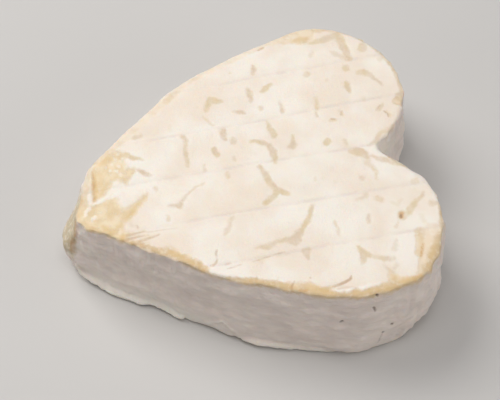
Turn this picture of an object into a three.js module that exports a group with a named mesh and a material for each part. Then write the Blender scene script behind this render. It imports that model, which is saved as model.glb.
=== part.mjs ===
import * as THREE from 'three';

// A heart shaped soft cheese with a white bloomy rind, lying on its flat face.
// Millimetres, +Z up. The point of the heart lies toward -Y and the notch toward +Y.
// The outline is a chain of arcs, the same on both sides, that local swells make uneven.
// The end of the point is worn off at a slant.

// Outline of the heart at its top edge
const lobeSpan = 98;
const lobeRadius = 26.3;
const innerLobeRadius = 22.6;
const lobeCentreY = 30.3;
const flankRadius = 156.8;
const flankMeetsLobe = THREE.MathUtils.degToRad(-14.6);
const pointRadius = 7.3;
const notchRadius = 2.4;

// Thickness and the shape of the side
const topHeight = 33.1;
const topWaves = [
  { height: 0.22, across: 59.7, along: 75.4, phase: 0.7 },
  { height: 0.13, across: 32, along: 39.6, phase: 2.1 },
];
const sideBulge = 1.1;
const bulgeHeight = 9;
const upperSideHeight = 27;
const sharpRimRadius = 1.3;
const backRimRadius = 2.6;
const footRadius = 1.9;
const sideWave = { height: 0.25, around: 23, down: 40 };

// Places where the soft cheese swells out or has sunk in, over its whole height
const swellReach = 9;
const swells = [
  { x: -15, y: -37, out: -1.7 },
  { x: -26, y: -26, out: -1.4 },
  { x: -36, y: -12, out: 0.5 },
  { x: -43, y: 4, out: -0.3 },
  { x: -46, y: 19, out: -0.8 },
  { x: -37, y: 49, out: -0.5 },
  { x: -24, y: 55, out: -0.2 },
  { x: -11, y: 51, out: 0.3 },
  { x: -2, y: 43, out: 1.7 },
  { x: 10, y: 50, out: -0.7 },
  { x: 34, y: 53, out: 0.1 },
  { x: 45, y: 46, out: 1.5 },
  { x: 48, y: 33, out: -0.4 },
  { x: 47, y: 18, out: 0.7 },
  { x: 43, y: 2, out: -0.2 },
  { x: 36, y: -11, out: 0.3 },
  { x: 26, y: -25, out: -0.3 },
  { x: 14, y: -47, out: 1 },
  { x: 5, y: -49, out: 0.9 },
  { x: -7, y: -50, out: -1.1 },
];

// Places along the foot where the rind has spread or is tucked under
const footReach = 6.4;
const footHeight = 4;
const footSpreads = [
  { x: 11, y: -48, out: -0.8 },
  { x: 24, y: -29, out: -1 },
  { x: 34, y: -15, out: -0.7 },
  { x: 39, y: -4, out: 0.9 },
  { x: 43, y: 5, out: 0.9 },
  { x: 48, y: 17, out: -0.4 },
  { x: 43, y: 47, out: -2.6 },
  { x: 4, y: -54, out: -0.9 },
];

// The slanted end of the point: a plane through the near end of its top edge,
// with a shallow hollow across it below the rim
const endNearX = 9.6;
const endNearY = -48.6;
const endSlope = 0.33;
const endLeanBack = 0.41;
const endSoftness = 1.2;
const endHollow = { depth: 2, height: 22.5, reach: 4 };
const pointSag = 0.5;
const pointSagStartsY = -30;

// Grooves left in the top by the wires of the draining rack
const rackPitch = 15.6;
const middleRackLine = -0.6;
const rackLines = [-2, -1, 0, 1, 2].map((step) => middleRackLine + step * rackPitch);
const grooveDepth = 0.4;
const grooveHalfWidth = 0.95;
const grooveClearance = 1.8;

// How finely the surface is divided
const columnCount = 50;
const rowCount = 36;
const rimSteps = 4;
const sideSteps = 8;
const footSteps = 2;
const footTurn = THREE.MathUtils.degToRad(75);
const arcColumnShare = 0.9;
const rowEasing = 0.35;
const halvings = 40;

// Arcs of the right half, from the point of the heart round to the notch.
// Each turns from one angle to the other about its centre. A notch arc faces inward.
function rightHalfArcs() {
  const lobe = new THREE.Vector2(lobeSpan / 2 - lobeRadius, lobeCentreY);
  const toLobe = new THREE.Vector2(Math.cos(flankMeetsLobe), Math.sin(flankMeetsLobe));
  const flank = lobe.clone().addScaledVector(toLobe, lobeRadius - flankRadius);
  const pointDrop = Math.sqrt((flankRadius - pointRadius) ** 2 - flank.x ** 2);
  const point = new THREE.Vector2(0, flank.y - pointDrop);
  const flankStart = point.clone().sub(flank).angle() - 2 * Math.PI;
  const innerLobe = new THREE.Vector2(lobe.x, lobe.y + lobeRadius - innerLobeRadius);
  const notchRise = Math.sqrt((innerLobeRadius + notchRadius) ** 2 - lobe.x ** 2);
  const notch = new THREE.Vector2(0, innerLobe.y + notchRise);
  const lobeEnd = notch.clone().sub(innerLobe).angle();
  return [
    { centre: point, radius: pointRadius, from: -Math.PI / 2, to: flankStart, facing: 1 },
    { centre: flank, radius: flankRadius, from: flankStart, to: flankMeetsLobe, facing: 1 },
    { centre: lobe, radius: lobeRadius, from: flankMeetsLobe, to: 0, facing: 1 },
    { centre: lobe, radius: lobeRadius, from: 0, to: Math.PI / 2, facing: 1 },
    { centre: innerLobe, radius: innerLobeRadius, from: Math.PI / 2, to: lobeEnd, facing: 1 },
    { centre: notch, radius: notchRadius, from: lobeEnd - Math.PI, to: -Math.PI / 2, facing: -1 },
  ];
}

const arcs = rightHalfArcs();
const lowerArcs = arcs.slice(0, 3);
const upperArcs = arcs.slice(3);

function alongArcs(chain, share) {
  const lengths = chain.map((arc) => arc.radius * Math.abs(arc.to - arc.from));
  const total = lengths.reduce((sum, length) => sum + length, 0);
  let rest = share * total;
  let index = 0;
  while (index < chain.length - 1 && rest > lengths[index]) {
    rest -= lengths[index];
    index += 1;
  }
  const arc = chain[index];
  const angle = THREE.MathUtils.lerp(arc.from, arc.to, Math.min(rest / lengths[index], 1));
  const outward = new THREE.Vector2(Math.cos(angle), Math.sin(angle));
  const place = arc.centre.clone().addScaledVector(outward, arc.radius);
  return { place, outward: outward.multiplyScalar(arc.facing) };
}

function nearness(place, spot, reach) {
  return Math.exp(-((place.x - spot.x) ** 2 + (place.y - spot.y) ** 2) / reach ** 2);
}

// Turn 0 is the far left of the heart, 0.25 its point, 0.5 the far right and 0.75 the notch.
function edgeAt(turn) {
  const lower = turn <= 0.5;
  const signed = lower ? turn * 4 - 1 : 3 - turn * 4;
  const share = lower ? Math.abs(signed) : 1 - Math.abs(signed);
  const edge = alongArcs(lower ? lowerArcs : upperArcs, share);
  if (signed < 0) {
    edge.place.x *= -1;
    edge.outward.x *= -1;
  }
  edge.swell = swells.reduce((sum, spot) => sum + spot.out * nearness(edge.place, spot, swellReach), 0);
  return edge;
}

function softLarger(a, b, softness) {
  return (a + b + Math.sqrt((a - b) ** 2 + softness ** 2)) / 2;
}

function slantedEndY(x, z) {
  const hollow = endHollow.depth * Math.exp(-(((z - endHollow.height) / endHollow.reach) ** 2));
  return endNearY - endSlope * (x - endNearX) + endLeanBack * (z - topHeight) + hollow;
}

// The rim is rounder on the side that faces -X.
function rimRadiusAt(outward) {
  const facingBack = THREE.MathUtils.smoothstep(-outward.x, 0.1, 0.9);
  return THREE.MathUtils.lerp(sharpRimRadius, backRimRadius, facingBack);
}

// A place on the edge, moved in by an inset at a height.
function ringPlace(turn, inset, z) {
  const { place, outward, swell } = edgeAt(turn);
  const moved = place.clone().addScaledVector(outward, swell - inset);
  const endLimit = slantedEndY(moved.x, z) + Math.max(inset, 0);
  return new THREE.Vector3(moved.x, softLarger(moved.y, endLimit, endSoftness), z);
}

function topRing(turn) {
  return ringPlace(turn, rimRadiusAt(edgeAt(turn).outward), topHeight);
}

// The turn at which the top ring crosses a column, found by halving.
function turnAtX(x, lower) {
  let low = lower ? 0 : 0.5;
  let high = lower ? 0.5 : 1;
  for (let step = 0; step < halvings; step += 1) {
    const middle = (low + high) / 2;
    const beyond = topRing(middle).x > x;
    if (beyond === lower) high = middle;
    else low = middle;
  }
  return (low + high) / 2;
}

function topZ(x, y) {
  let z = topHeight;
  for (const { height, across, along, phase } of topWaves) {
    const over = 2 * Math.PI * x / across + phase;
    const up = 2 * Math.PI * y / along;
    z += height * Math.sin(over) * Math.cos(up - phase);
  }
  for (const line of rackLines) {
    z -= grooveDepth * Math.exp(-(((x - line) / grooveHalfWidth) ** 2));
  }
  const sag = THREE.MathUtils.smoothstep(-y, -pointSagStartsY, -endNearY);
  return z - pointSag * sag;
}

// How far the side stands out of the top edge's outline at a height.
function sideOutset(z, turn) {
  const reach = z > bulgeHeight ? upperSideHeight - bulgeHeight : 2 * bulgeHeight;
  const bulge = sideBulge * (1 - ((z - bulgeHeight) / reach) ** 2);
  const { place } = edgeAt(turn);
  const over = 2 * Math.PI * (place.x / sideWave.around + z / sideWave.down);
  const up = 2 * Math.PI * (place.y / sideWave.around - z / sideWave.down);
  const sweeps = sideWave.height * Math.sin(over) * Math.cos(up);
  const below = THREE.MathUtils.smoothstep(-z, -upperSideHeight, -bulgeHeight);
  const low = Math.exp(-((Math.max(z - 1, 0) / footHeight) ** 2));
  const spread = footSpreads.reduce((sum, spot) => sum + spot.out * nearness(place, spot, footReach), 0);
  return bulge + sweeps * below + spread * low;
}

// Columns run along the rack lines, so that each groove keeps a clean bottom.
function columnPlaces() {
  const reach = arcColumnShare * (lobeSpan / 2 - backRimRadius);
  const kept = [];
  for (let index = 0; index < columnCount; index += 1) {
    const x = reach * (2 * index / (columnCount - 1) - 1);
    const clear = rackLines.every((line) => Math.abs(x - line) > grooveClearance);
    if (clear) kept.push(x);
  }
  for (const line of rackLines) {
    kept.push(line - grooveHalfWidth, line, line + grooveHalfWidth);
  }
  return kept.sort((a, b) => a - b);
}

function rowShare(row) {
  const even = row / (rowCount - 1);
  const eased = (1 - Math.cos(Math.PI * even)) / 2;
  return THREE.MathUtils.lerp(even, eased, rowEasing);
}

// The top as columns of points, the first and last of which follow the edge itself.
function topGrid() {
  const xs = columnPlaces();
  const last = xs.length - 1;
  return xs.map((x, index) => {
    const lowTurn = turnAtX(x, true);
    const highTurn = turnAtX(x, false);
    const start = topRing(lowTurn);
    const end = topRing(highTurn);
    const column = [];
    for (let row = 0; row < rowCount; row += 1) {
      const share = rowShare(row);
      let turn = row === 0 ? lowTurn : highTurn;
      let place = new THREE.Vector3(x, THREE.MathUtils.lerp(start.y, end.y, share), 0);
      if (index === last) turn = THREE.MathUtils.lerp(lowTurn, highTurn, share);
      if (index === 0) turn = THREE.MathUtils.lerp(lowTurn, highTurn - 1, share);
      if (index === 0) turn = (turn + 1) % 1;
      if (index === 0 || index === last) place = topRing(turn);
      column.push({ place, turn });
    }
    return column;
  });
}

// Steps down the side for one point of the edge: the rim, the side and the foot.
function sideProfile(turn, rimZ) {
  const radius = rimRadiusAt(edgeAt(turn).outward);
  const steps = [];
  for (let step = 1; step <= rimSteps; step += 1) {
    const angle = (step / rimSteps) * Math.PI / 2;
    const z = rimZ - radius * (1 - Math.cos(angle));
    const share = step / rimSteps;
    steps.push({ inset: radius * (1 - Math.sin(angle)) - share * sideOutset(z, turn), z });
  }
  const rimFoot = rimZ - radius;
  for (let step = 1; step <= sideSteps; step += 1) {
    const z = THREE.MathUtils.lerp(rimFoot, footRadius, step / sideSteps);
    steps.push({ inset: -sideOutset(z, turn), z });
  }
  for (let step = 1; step <= footSteps; step += 1) {
    const angle = (step / footSteps) * footTurn;
    const z = step === footSteps ? 0 : footRadius * (1 - Math.sin(angle));
    const inset = footRadius * (1 - Math.cos(angle)) - sideOutset(z, turn);
    steps.push({ inset, z });
  }
  return steps;
}

function cheeseGeometry() {
  const positions = [];
  const indices = [];
  const addPoint = (place) => {
    positions.push(place.x, place.y, place.z);
    return positions.length / 3 - 1;
  };
  const addQuad = (a, b, c, d) => indices.push(a, b, c, a, c, d);

  const grid = topGrid();
  for (const column of grid) {
    for (const point of column) {
      point.place.z = topZ(point.place.x, point.place.y);
      point.id = addPoint(point.place);
    }
  }
  for (let column = 0; column < grid.length - 1; column += 1) {
    for (let row = 0; row < rowCount - 1; row += 1) {
      const near = grid[column];
      const next = grid[column + 1];
      addQuad(near[row].id, next[row].id, next[row + 1].id, near[row + 1].id);
    }
  }

  const firstColumn = grid[0];
  const lastColumn = grid[grid.length - 1];
  const loop = [
    ...grid.map((column) => column[0]),
    ...lastColumn.slice(1, -1),
    ...grid.map((column) => column[rowCount - 1]).reverse(),
    ...firstColumn.slice(1, -1).reverse(),
  ];
  let above = loop.map((point) => point.id);
  const profiles = loop.map((point) => sideProfile(point.turn, point.place.z));
  for (let level = 0; level < profiles[0].length; level += 1) {
    const below = loop.map((point, index) => {
      const { inset, z } = profiles[index][level];
      return addPoint(ringPlace(point.turn, inset, z));
    });
    loop.forEach((point, index) => {
      const next = (index + 1) % loop.length;
      addQuad(above[index], below[index], below[next], above[next]);
    });
    above = below;
  }

  const base = above.map((id) => new THREE.Vector2(positions[3 * id], positions[3 * id + 1]));
  for (const [a, b, c] of THREE.ShapeUtils.triangulateShape(base, [])) {
    indices.push(above[a], above[c], above[b]);
  }

  const geometry = new THREE.BufferGeometry();
  geometry.setAttribute('position', new THREE.Float32BufferAttribute(positions, 3));
  geometry.setIndex(indices);
  geometry.computeVertexNormals();
  return geometry;
}

// The origin lies under the middle of the heart, on the face that it rests on.
function centred(geometry) {
  geometry.computeBoundingBox();
  const middle = geometry.boundingBox.getCenter(new THREE.Vector3());
  return geometry.translate(-middle.x, -middle.y, 0);
}

const rind = new THREE.MeshStandardMaterial({ color: '#f4ebdf', roughness: 0.85, metalness: 0 });
const cheese = new THREE.Mesh(centred(cheeseGeometry()), rind);
cheese.name = 'cheese';

const part = new THREE.Group();
part.add(cheese);

export default part;
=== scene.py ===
import math

import bmesh
import bpy
import numpy as np
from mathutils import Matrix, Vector, kdtree, noise


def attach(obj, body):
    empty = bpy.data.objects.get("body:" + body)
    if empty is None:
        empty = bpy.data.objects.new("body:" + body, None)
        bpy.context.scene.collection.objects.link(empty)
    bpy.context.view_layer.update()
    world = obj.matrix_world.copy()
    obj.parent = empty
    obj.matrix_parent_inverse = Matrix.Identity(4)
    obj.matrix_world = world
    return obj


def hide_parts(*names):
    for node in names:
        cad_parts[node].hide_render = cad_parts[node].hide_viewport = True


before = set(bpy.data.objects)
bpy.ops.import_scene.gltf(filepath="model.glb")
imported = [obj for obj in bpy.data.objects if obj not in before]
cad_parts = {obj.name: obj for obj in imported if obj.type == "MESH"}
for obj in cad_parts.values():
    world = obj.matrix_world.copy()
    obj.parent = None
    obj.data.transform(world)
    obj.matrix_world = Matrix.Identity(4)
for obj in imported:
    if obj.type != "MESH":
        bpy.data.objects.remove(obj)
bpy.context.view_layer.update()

scene = bpy.context.scene
scene.view_settings.view_transform = "Standard"


def linearColour(red, green, blue):
    # a screen colour of 0 to 255 as the numbers that a shader takes, by the standard curve
    parts = [value / 255 for value in (red, green, blue)]
    return [((part + 0.055) / 1.055) ** 2.4 if part > 0.04045 else part / 12.92 for part in parts] + [1.0]


# The camera, placed so that the part fills the picture as in the photograph

cameraPlace = {
    "lens": 100.0,  # millimetres, on a 36 mm wide sensor
    "distance": 0.4389,
    "elevation": 57.55,  # degrees above the floor
    "azimuth": 78.71,  # degrees round from the point of the heart
    "lookAt": (-0.0092, 0.0040, 0.0),
    "nearest": 0.01,  # what is nearer to the camera isn't drawn
}


def makeCamera():
    elevation = math.radians(cameraPlace["elevation"])
    azimuth = math.radians(cameraPlace["azimuth"])
    across = math.cos(elevation)
    back = Vector((math.sin(azimuth) * across, -math.cos(azimuth) * across, math.sin(elevation)))
    data = bpy.data.cameras.new("camera")
    data.lens = cameraPlace["lens"]
    data.clip_start = cameraPlace["nearest"]
    camera = bpy.data.objects.new("camera", data)
    camera.location = Vector(cameraPlace["lookAt"]) + back * cameraPlace["distance"]
    camera.rotation_euler = back.to_track_quat("Z", "Y").to_euler()
    scene.collection.objects.link(camera)
    scene.camera = camera


makeCamera()
print("camera placed")


# The body of the cheese

bodyShape = {
    "mergeDistance": 1e-6,
    "joinAngle": 0.5,  # triangles that meet at less than this, in radians, are joined
    "joinSkew": 1.2,  # unless the face they make is more askew than this
    "roundingLevels": 2,
    "voxel": 0.0005,
    "smoothing": 4,
    "smoothingStrength": 0.5,
    "flatBaseHeight": 0.0004,  # what lies lower is the flat underside
    "baseDetail": 0.12,  # share of its faces that the underside keeps
    "baseFirst": 10,  # how strongly the thinning keeps to the underside
}


def evaluatedMesh(piece):
    depsgraph = bpy.context.evaluated_depsgraph_get()
    return bpy.data.meshes.new_from_object(piece.evaluated_get(depsgraph))


def meshArray(items, name, width=3):
    values = np.zeros(len(items) * width, np.float32)
    items.foreach_get(name, values)
    return values.reshape(-1, width).astype(float)


def makeBody():
    bm = bmesh.new()
    bm.from_mesh(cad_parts["cheese"].data)
    bmesh.ops.remove_doubles(bm, verts=bm.verts, dist=bodyShape["mergeDistance"])
    bmesh.ops.join_triangles(
        bm,
        faces=bm.faces,
        angle_face_threshold=bodyShape["joinAngle"],
        angle_shape_threshold=bodyShape["joinSkew"],
    )
    start = bpy.data.meshes.new("cheeseStart")
    bm.to_mesh(start)
    bm.free()
    body = bpy.data.objects.new("heartCheese", start)
    scene.collection.objects.link(body)
    rounding = body.modifiers.new("rounding", "SUBSURF")
    rounding.levels = rounding.render_levels = bodyShape["roundingLevels"]
    remesh = body.modifiers.new("remesh", "REMESH")
    remesh.mode = "VOXEL"
    remesh.voxel_size = bodyShape["voxel"]
    smooth = body.modifiers.new("smooth", "SMOOTH")
    smooth.factor = bodyShape["smoothingStrength"]
    smooth.iterations = bodyShape["smoothing"]
    body.data = evaluatedMesh(body)
    body.modifiers.clear()
    return body


def thinUnderside(body):
    # the flat underside needs few faces, and the rest keeps all of its own
    group = body.vertex_groups.new(name="underside")
    heights = meshArray(body.data.vertices, "co")[:, 2]
    low = np.nonzero(heights < bodyShape["flatBaseHeight"])[0]
    group.add(low.tolist(), 1.0, "REPLACE")
    thin = body.modifiers.new("thin", "DECIMATE")
    thin.vertex_group = "underside"
    thin.vertex_group_factor = bodyShape["baseFirst"]
    thin.ratio = 1 - (len(low) / len(heights)) * (1 - bodyShape["baseDetail"])
    faces = len(body.data.polygons)
    body.data = evaluatedMesh(body)
    body.modifiers.clear()
    body.vertex_groups.clear()
    print("underside thinned", faces, "to", len(body.data.polygons))


body = makeBody()
thinUnderside(body)
print("body", len(body.data.vertices), "points")


# Where the rind is marked, in millimetres

# Marks on the top where the mould is thin: strength, then (x, y, width) along each
leftLobeMarks = [
    (1.0, [(-24.1, 37, 1.9), (-22.5, 36.8, 2), (-20.6, 36.8, 1)]),
    (0.8, [(-30, 38.1, 2.1), (-29.6, 37.9, 2.2)]),
    (1.0, [(-33.5, 39.7, 1.8), (-36, 39.6, 2.3), (-39, 39.2, 2.6), (-42, 38.9, 2.8), (-43.6, 38.4, 2)]),
    (0.9, [(-43.2, 37.5, 2.4), (-42.3, 35, 2.5), (-41.7, 32.2, 2.2), (-41.5, 29.5, 1.6)]),
    (0.6, [(-33.5, 38.9, 1.4), (-34.8, 36.8, 1.6), (-36.6, 35.2, 1.2)]),
    (0.9, [(-37.2, 45.1, 2.7), (-36.2, 44.6, 2.9)]),
    (0.9, [(-21.3, 47.6, 0.8), (-23.3, 46.2, 1.3), (-25.6, 44.7, 1.7), (-27, 42.8, 2.4),
        (-27.3, 41.7, 1.8)]),
    (0.4, [(-31.3, 49.1, 2)]),
    (0.8, [(-0.6, 38.2, 0.8), (-1.6, 40.4, 1.2), (-3.6, 42.2, 1.4), (-4.8, 43.6, 1.4)]),
    (0.8, [(-4.8, 43.6, 1.4), (-4.6, 45, 1.2), (-6, 47.2, 1.4)]),
    (1.0, [(-16.6, 51.4, 1.8), (-15.3, 50.6, 2.4), (-14.2, 49.8, 1.8)]),
    (0.9, [(-14.3, 45.6, 0.9), (-12.5, 44.1, 1.2)]),
    (0.8, [(-11.6, 46.2, 0.5), (-10.2, 46.9, 0.6), (-9, 46.9, 0.4)]),
    (0.35, [(-17.3, 40.6, 1.6)]),
    (0.4, [(-26.3, 31.3, 1.5)]),
    (0.5, [(-38, 29.1, 1.3), (-36.6, 28.5, 1.6)]),
    (0.7, [(-15.8, 25.3, 0.5), (-13.8, 25.2, 0.5)]),
    (0.8, [(-14.3, 32.5, 1), (-12.7, 32.8, 0.9)]),
    (0.8, [(-11.4, 30.3, 1), (-11.3, 29.1, 1.1)]),
    (0.8, [(-30, 25.9, 2.1), (-29.5, 25.7, 2.2)]),
    (0.9, [(-20.8, 26.7, 0.6), (-18.3, 26.3, 1.3), (-16.9, 26, 1.5)]),
    (0.9, [(-4.5, 26.8, 1.6), (-3.8, 26, 2)]),
    (0.7, [(-3.7, 31.4, 1), (-1.8, 31.5, 0.9)]),
    (0.9, [(-21.3, 15.6, 0.6), (-18.9, 15.7, 1.2), (-17.7, 15.7, 1.4)]),
    (1.0, [(-8.5, 16.6, 0.8), (-6.3, 16.4, 1.5), (-4.3, 16.1, 2), (-4.5, 14.7, 1)]),
    (0.9, [(-28.3, 14.2, 1.1), (-27.3, 12.7, 1.8), (-26.2, 11, 1.2)]),
    (1.0, [(-36.3, 10.3, 0.9), (-34.6, 10.2, 1.7), (-33.4, 9.8, 1.5)]),
    (0.7, [(-20.8, 9.4, 1.2), (-19.8, 9.4, 1.3)]),
    (1.0, [(-15.3, 10.3, 0.6), (-12.3, 10.8, 1.6), (-10.3, 11.2, 2.2), (-9.5, 11.4, 2)]),
    (1.0, [(-27.8, 7.1, 1.1), (-26.4, 7.2, 1.7), (-24.6, 7.1, 1.5), (-23.6, 7.2, 1.3)]),
    (0.9, [(-19.5, 4.4, 1), (-20.1, 2.9, 1.4), (-20.3, 1.3, 0.8)]),
    (1.0, [(0.2, 9.7, 1.2), (-1.8, 9.9, 2), (-4.3, 9.8, 2), (-6.8, 8.7, 1.4), (-8.3, 5.9, 1.5),
        (-8.7, 4.5, 1.2)]),
    (0.8, [(-10.3, -0.9, 1.6), (-9.5, -0.9, 1.8)]),
    (0.6, [(-35, 3, 0.8)]),
]
rightLobeMarks = [
    (1.0, [(0.4, 32.6, 2), (1, 34.4, 3.2), (2, 35.8, 3), (3.4, 36.4, 2)]),
    (0.8, [(3, 37.6, 1), (4.3, 39.6, 1.6), (5.4, 41.8, 2), (6.6, 43.8, 1.8), (7.8, 45.6, 1.2)]),
    (0.7, [(4.2, 36.5, 1.6), (5.7, 36.2, 1.8), (6.9, 37, 1), (8.9, 37.9, 1), (11.5, 37.3, 0.7)]),
    (0.7, [(10.2, 33.2, 1.5), (10.6, 33, 1.4)]),
    (0.7, [(18.6, 37.2, 1.8), (17.9, 36, 2)]),
    (0.6, [(16, 33.1, 1.6), (16.7, 32.8, 1.4), (17.3, 29.6, 0.5)]),
    (0.8, [(22.9, 32.5, 0.7), (23.9, 32, 1.2), (25.2, 31.8, 0.9)]),
    (0.9, [(18.5, 49.7, 0.8), (20.4, 47.7, 1.3), (22.5, 45.3, 1.8), (24.4, 43.5, 1.7), (25, 42.3, 1.2)]),
    (0.7, [(27.1, 39.8, 0.6), (28.6, 38.7, 0.8)]),
    (0.9, [(24.6, 41.5, 2.3), (25.5, 41.2, 2.2)]),
    (0.5, [(14, 48.7, 1.8), (14.3, 47.5, 1.6)]),
    (0.8, [(22.9, 52.1, 1.6), (22.8, 50.7, 1.7)]),
    (0.35, [(19.7, 42.8, 1), (21.2, 41.1, 1), (20.2, 39.6, 1)]),
    (0.35, [(26.2, 47.1, 1.2), (28.2, 47.1, 1.2)]),
    (0.5, [(32.8, 37.8, 1), (34.3, 37.2, 1.5), (35.6, 36.5, 1.7)]),
    (0.5, [(40.7, 35.6, 1.8), (41.4, 35, 1.4)]),
    (0.8, [(40.2, 32.4, 0.6), (41.4, 33.2, 0.9), (42.4, 34, 0.9)]),
    (0.8, [(38.6, 35.5, 1.3), (38.2, 33.2, 1.8), (37.4, 31.4, 1.4), (36.7, 30.2, 1.2)]),
    (1.0, [(36.4, 29.5, 1.3), (35.6, 28.2, 2.2), (33.9, 27.2, 1.8), (32.7, 27, 1)]),
    (0.9, [(35.5, 27.5, 2), (36.9, 27.2, 1.8), (37.8, 26.9, 1.2)]),
    (0.7, [(23.2, 21.9, 0.7), (24.6, 22.2, 1), (26, 22.6, 0.7), (27.6, 22.2, 0.6)]),
    (0.5, [(7.7, 19.9, 0.8), (8.7, 19.7, 0.8)]),
    (0.4, [(8.3, 22.3, 0.8)]),
    (0.35, [(10.3, 25.3, 1)]),
    (1.0, [(16.7, 17, 1.1), (19.8, 15.8, 1.6), (22.4, 13.9, 1.7), (24.6, 11.8, 2), (26.8, 10.1, 3),
        (28.4, 9.7, 1.2)]),
    (0.9, [(27, 8.9, 2.4), (26.5, 6.8, 1.5), (26.7, 4.7, 1.2), (27.6, 2, 1.9), (27.3, 0, 1.3),
        (27.3, -1.4, 0.7)]),
    (1.0, [(30.9, 13.1, 1.3), (31.3, 12.1, 2.3), (33.1, 12.1, 1.4)]),
    (0.5, [(30.9, 7.2, 0.8), (31, 4.2, 0.7)]),
    (0.4, [(30.8, 0.4, 0.6), (31.2, -1.2, 0.8), (32.8, -0.8, 0.8)]),
    (1.0, [(0.7, 4.9, 1.4), (3.7, 6.1, 2.2), (7.1, 6.8, 2.3), (9.3, 7.9, 2), (10.7, 9.9, 2),
        (11.5, 11.1, 1.4)]),
    (1.0, [(10.9, 7.8, 1.8), (12.3, 5.9, 1.9), (13.5, 3.9, 1.4)]),
]
lowerMarks = [
    (1.0, [(-24.8, -2.2, 1.6), (-25.5, -3.6, 2.7), (-26.3, -4.8, 2.1), (-24.3, -5.9, 1.6),
        (-22.4, -7, 1.4)]),
    (0.6, [(-20.3, -7.9, 0.7), (-18.1, -6.9, 0.9), (-16.9, -5.9, 1)]),
    (1.0, [(-14.7, -3.3, 1.6), (-12.9, -3.2, 2), (-10.9, -3.3, 1.2)]),
    (1.0, [(-8.3, -7.1, 1.2), (-6.9, -6.8, 1.8), (-5.7, -6.3, 1.6)]),
    (0.6, [(-4.3, -1.7, 1), (-3.1, -1.7, 1.1)]),
    (0.7, [(-3.1, -10.9, 0.9), (-1.3, -11, 0.9)]),
    (1.0, [(-14.9, -15.3, 1), (-12.7, -14.7, 1.5), (-10.3, -15.3, 1), (-7.3, -15.5, 1.4),
        (-3.7, -15.5, 0.7)]),
    (0.3, [(-18.8, -18.4, 1), (-17.3, -18.9, 1)]),
    (0.7, [(-17, -27.6, 1.4), (-16.6, -29.4, 1.6)]),
    (1.0, [(-8.4, -28.4, 0.9), (-9.4, -30.8, 1.5), (-11.2, -32.9, 1.7)]),
    (1.0, [(-2.5, -27, 1), (-3.6, -28.7, 1.6), (-5, -30.1, 1.1)]),
    (1.0, [(-5.6, -31.2, 1.3), (-4.7, -32.7, 2.2), (-1.4, -34.2, 0.9)]),
    (0.6, [(-35.2, -8.1, 1.5)]),
    (0.6, [(-31.3, -14.1, 1.7)]),
    (0.9, [(-29.3, -16.4, 2), (-28.3, -17.9, 2.3)]),
    (0.9, [(-9.5, -44, 1.4), (-5, -45.5, 2.2), (0, -46.6, 2.2), (4, -47, 1.4)]),
    (0.8, [(0.7, -4.9, 1.1), (2.3, -4.8, 1.2)]),
    (0.7, [(16.3, -6.1, 0.8), (17, -7.1, 0.9), (19, -7.5, 1.2), (20.4, -8.6, 1.2), (21.6, -9.6, 0.7)]),
    (0.8, [(3.1, -11.9, 0.5), (3.9, -14.5, 0.7), (5.7, -17.1, 0.8), (7.7, -19.3, 0.9)]),
    (1.0, [(8.1, -19.7, 1), (9.3, -20.3, 2), (8.9, -22.1, 0.9), (8.5, -23.5, 0.6)]),
    (0.7, [(12.1, -24.3, 0.9), (13.5, -24.3, 0.8)]),
    (0.6, [(1.7, -26.1, 0.9), (2.9, -25.9, 0.9)]),
    (0.4, [(11.7, -35.1, 1.1), (12.9, -34.9, 1)]),
    (0.5, [(13.4, -33.3, 0.6), (14.1, -33.1, 0.7)]),
    (0.8, [(15.5, -31.2, 0.5), (15.8, -33.8, 0.8), (16, -36.6, 1.4)]),
    (0.8, [(17.1, -30.6, 0.4), (17.2, -33, 0.7), (17.3, -35.4, 0.9), (17.4, -37.8, 1.2)]),
    (0.8, [(17.6, -27.6, 0.5), (18.3, -30.4, 0.8), (18.7, -33.2, 1)]),
    (0.7, [(19.7, -30.6, 0.5), (19.5, -33, 0.8), (19.2, -35.2, 1)]),
    (0.6, [(22.1, -26.1, 0.8), (22.9, -24.5, 0.9), (24.9, -23.3, 0.8)]),
]
topMarks = leftLobeMarks + rightLobeMarks + lowerMarks

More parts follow.
